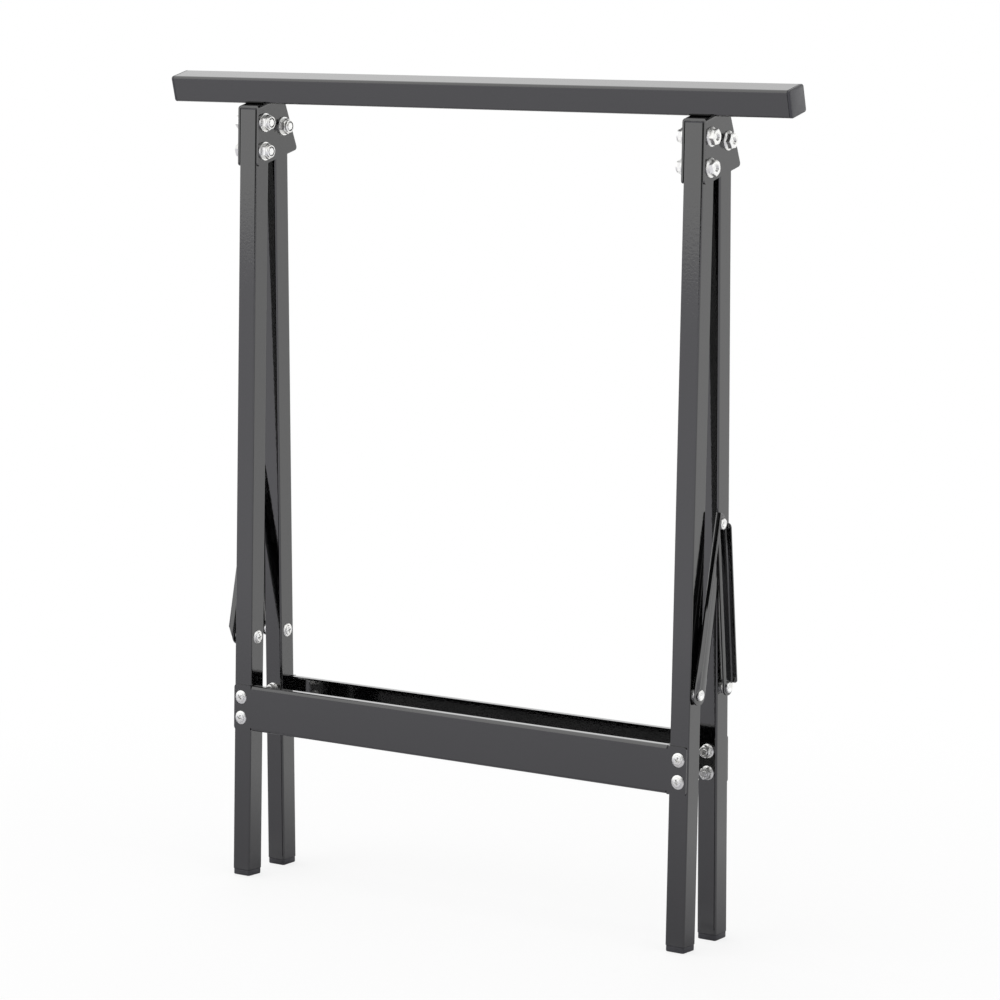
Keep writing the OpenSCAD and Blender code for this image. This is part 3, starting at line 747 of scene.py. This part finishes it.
def makeFloor(settings):
    bpy.ops.object.select_all(action="DESELECT")
    bpy.ops.mesh.primitive_plane_add(size=settings["floorSize"])
    floor = bpy.context.object
    floor.name = "studio_floor"
    material, tree = newMaterial("pale_studio_floor")
    place = addNode(tree, "ShaderNodeTexCoord").outputs["Object"]
    back = addNode(tree, "ShaderNodeSeparateXYZ", links={0: place}).outputs["Y"]
    seen = addNode(tree, "ShaderNodeLightPath").outputs["Is Camera Ray"]
    # Painted shade: the floor's colour is darker near the object and fades to white further off
    fades = [addNode(tree, "ShaderNodeMapRange",
                     {"From Min": settings["deepestShade"], "From Max": settings[end]},
                     {"Value": back}).outputs["Result"] for end in ("frontReach", "backReach")]
    shadedPaper = addNode(tree, "ShaderNodeRGB").outputs[0]
    shadedPaper.default_value = linear(settings["nearShade"])
    for share, colour in ((fades[0], "front"), (fades[1], "behind"), (seen, "white")):
        mixed = addNode(tree, "ShaderNodeMix", {"data_type": "RGBA"}, {0: share, firstColour: shadedPaper})
        mixed.inputs[secondColour].default_value = linear(settings[colour])
        shadedPaper = mixed.outputs[mixedColour]
    matt = addNode(tree, "ShaderNodeBsdfDiffuse", links={"Color": shadedPaper})
    reach = addNode(tree, "ShaderNodeVectorMath", {"operation": "LENGTH"}, {0: place})
    clear = addNode(tree, "ShaderNodeMapRange",
                    {"interpolation_type": "SMOOTHSTEP",
                     "From Min": settings["shadowNear"], "From Max": settings["shadowFar"],
                     "To Min": 1 - settings["shadowShare"], "To Max": 1.0},
                    {"Value": reach.outputs["Value"]})
    share = addNode(tree, "ShaderNodeMath", {"operation": "MULTIPLY"},
                    {0: seen, 1: clear.outputs["Result"]})
    glow = addNode(tree, "ShaderNodeEmission", {"Color": linear(settings["white"])})
    both = addNode(tree, "ShaderNodeMixShader",
                   links={0: share.outputs[0], 1: matt.outputs[0], 2: glow.outputs[0]})
    closeMaterial(tree, both)
    floor.data.materials.append(material)


# Room: white all round, with dim sides behind the camera and high at the back, for dark lines along edges
def makeRoom(settings):
    world = bpy.data.worlds.new("white_studio")
    bpy.context.scene.world = world
    world.use_nodes = True
    tree = world.node_tree
    tree.nodes.clear()
    toward = addNode(tree, "ShaderNodeTexCoord").outputs["Generated"]
    seen = addNode(tree, "ShaderNodeLightPath").outputs["Is Camera Ray"]
    level = addNode(tree, "ShaderNodeValue").outputs[0]
    level.default_value = settings["roomLight"]
    for side in settings["dimSides"]:
        facing = addNode(tree, "ShaderNodeVectorMath", {"operation": "DOT_PRODUCT"}, {0: toward})
        facing.inputs[1].default_value = side["toward"]
        dim = addNode(tree, "ShaderNodeMapRange",
                      {"interpolation_type": "SMOOTHSTEP",
                       "From Min": side["edge"], "From Max": side["core"],
                       "To Min": 1.0, "To Max": side["share"]}, {"Value": facing.outputs["Value"]})
        dimmed = addNode(tree, "ShaderNodeMath", {"operation": "MULTIPLY"},
                         {0: level, 1: dim.outputs["Result"]})
        level = dimmed.outputs[0]
    light = addNode(tree, "ShaderNodeMix", {"B": 1.0}, {0: seen, "A": level})
    room = addNode(tree, "ShaderNodeBackground", {"Color": linear(settings["white"])},
                   {"Strength": light.outputs[0]})
    addNode(tree, "ShaderNodeOutputWorld", links={"Surface": room.outputs[0]})


# Softbox behind on the left: it brightens the upward faces and draws bright lines along the top bends
softbox = {"at": (-1.5, 2.0, 1.3), "aim": (0.0, 0.0, 0.5), "wide": 1.6, "high": 2.2, "power": 2.4}


def makeSoftbox(settings):
    bpy.ops.object.light_add(type="AREA", location=settings["at"])
    lamp = bpy.context.object
    lamp.name = "softbox"
    toward = Vector(settings["aim"]) - Vector(settings["at"])
    lamp.rotation_euler = toward.to_track_quat("-Z", "Y").to_euler()
    lamp.data.shape = "RECTANGLE"
    lamp.data.size = settings["wide"]
    lamp.data.size_y = settings["high"]
    lamp.data.energy = settings["power"]


makeFloor(stage)
makeRoom(stage)
makeSoftbox(softbox)

# Camera at the photo's view
view = {
    "eye": (1.9279, -2.74873, 0.88082), "target": (0.022526, 0.010865, 0.385145),
    "lens": 131.82, "sensor": 36.0,
}


def makeCamera(settings):
    bpy.ops.object.camera_add(location=settings["eye"])
    camera = bpy.context.object
    camera.name = "photo_camera"
    toward = Vector(settings["target"]) - Vector(settings["eye"])
    camera.rotation_euler = toward.to_track_quat("-Z", "Y").to_euler()
    camera.data.lens = settings["lens"]
    camera.data.sensor_width = settings["sensor"]
    bpy.context.scene.camera = camera


makeCamera(view)
bpy.context.scene.view_settings.view_transform = "Standard"
print("stage, room and camera set")
